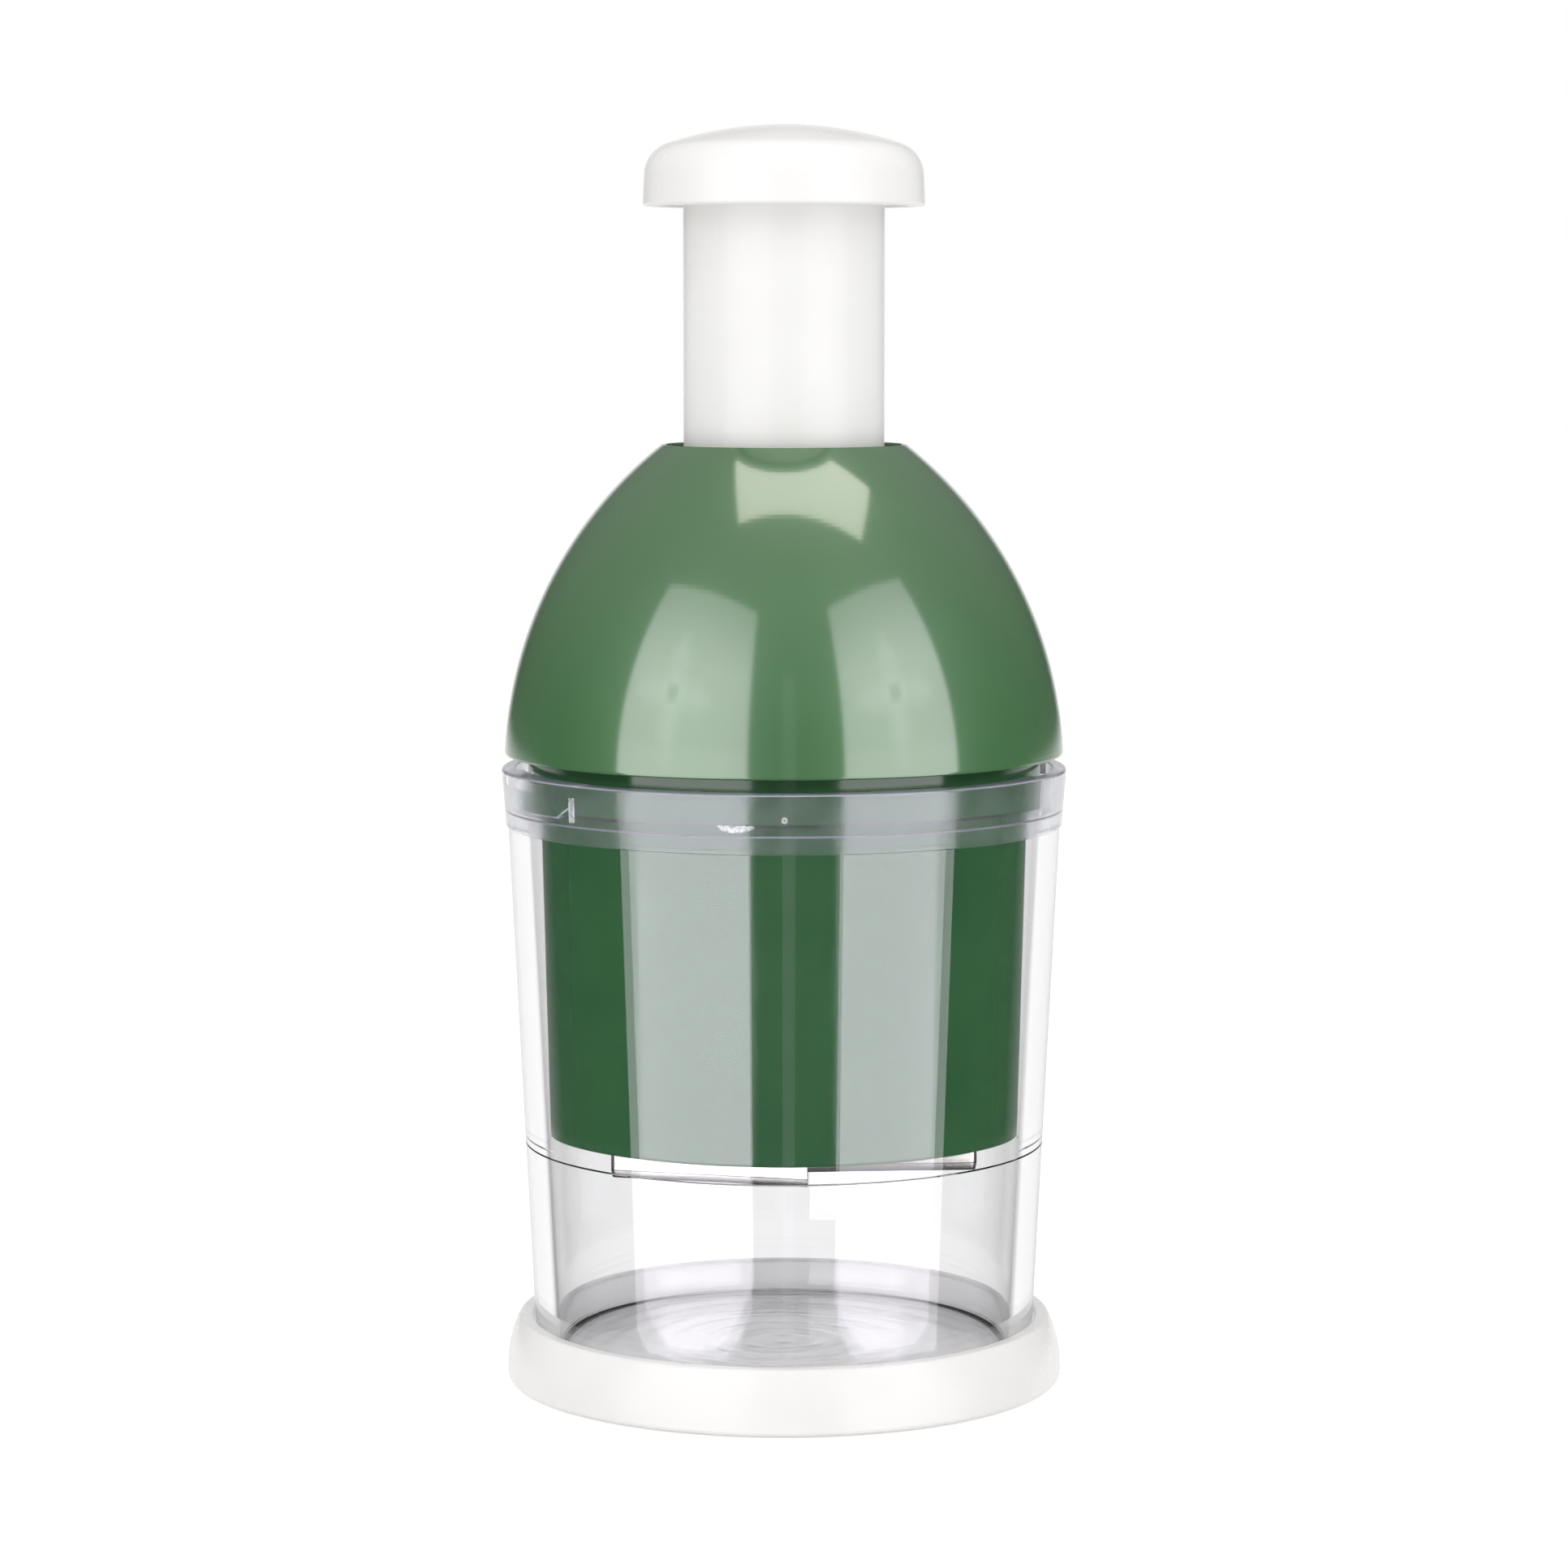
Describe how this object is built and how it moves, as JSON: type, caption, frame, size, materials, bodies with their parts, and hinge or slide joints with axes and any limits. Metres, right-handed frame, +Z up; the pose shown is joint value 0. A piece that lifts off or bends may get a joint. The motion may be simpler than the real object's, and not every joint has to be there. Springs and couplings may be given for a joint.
{
  "type": "plunger food chopper",
  "caption": "Hand food chopper: a palm knob on a sprung tube drives a folded steel blade through a domed housing into a clear cup on a base cap, with a twist lock and an indexing spindle.",
  "frame": {"origin": "middle of the underside, on the surface the chopper stands on", "axes": "+Z up along the plunger's axis, front looks along -Y, +X to the right seen from the front"},
  "size_m": [0.0983, 0.0984, 0.2185],
  "materials": {
    "white_plastic": "polished moulding, warm white",
    "clear_plastic": "clear rigid plastic, polished, faint frosting on the collar",
    "green_plastic": "glossy moulded leaf green",
    "inner_plastic": "plain moulded natural white",
    "grip_rubber": "soft matt grey",
    "steel": "stainless steel, fine ground"
  },
  "bodies": {
    "base": {"base_cap": "white_plastic", "grip_ring": "grip_rubber"},
    "cup": {"cup": "clear_plastic"},
    "housing": {"dome": "green_plastic", "sleeve": "green_plastic", "guide_bush": "inner_plastic", "hub_plate": "inner_plastic", "hub_screws": "steel", "index_nut": "inner_plastic", "spring_seat": "inner_plastic", "return_spring": "steel", "wiper_retainer": "inner_plastic"},
    "plunger": {"plunger_tube": "white_plastic", "knob_cap": "white_plastic", "knob_core": "inner_plastic"},
    "spindle": {"spindle": "inner_plastic", "tip_washer": "steel", "tip_screw": "steel", "blade_holder": "inner_plastic", "holder_screw": "steel", "blade": "steel"},
    "wiper": {"wiper_plate": "inner_plastic"}
  },
  "joints": [
    {"name": "cup_lift", "type": "slide", "parent": "base", "child": "cup", "axis": [0, 0, 1], "range_m": [0, 0.012]},
    {"name": "housing_turn", "type": "hinge", "parent": "cup", "child": "housing", "pos_m": [0, 0, 0.1034], "axis": [0, 0, 1], "range_deg": [-32, 0]},
    {"name": "plunger_press", "type": "slide", "parent": "housing", "child": "plunger", "axis": [0, 0, -1], "range_m": [0, 0.033], "stiffness_N_per_m": 450, "springref_m": -0.02, "deforming": ["return_spring"]},
    {"name": "blade_turn", "type": "hinge", "parent": "plunger", "child": "spindle", "pos_m": [0, 0, 0.2], "axis": [0, 0, 1], "range_deg": [-45, 0]},
    {"name": "wiper_turn", "type": "hinge", "parent": "housing", "child": "wiper", "pos_m": [0, 0, 0.0488], "axis": [0, 0, 1], "range_deg": [-45, 0]}
  ],
  "couplings": [
    {"joint": "blade_turn", "follows": "plunger_press", "rad_per_m": -23.799},
    {"joint": "wiper_turn", "follows": "plunger_press", "rad_per_m": -23.799}
  ]
}
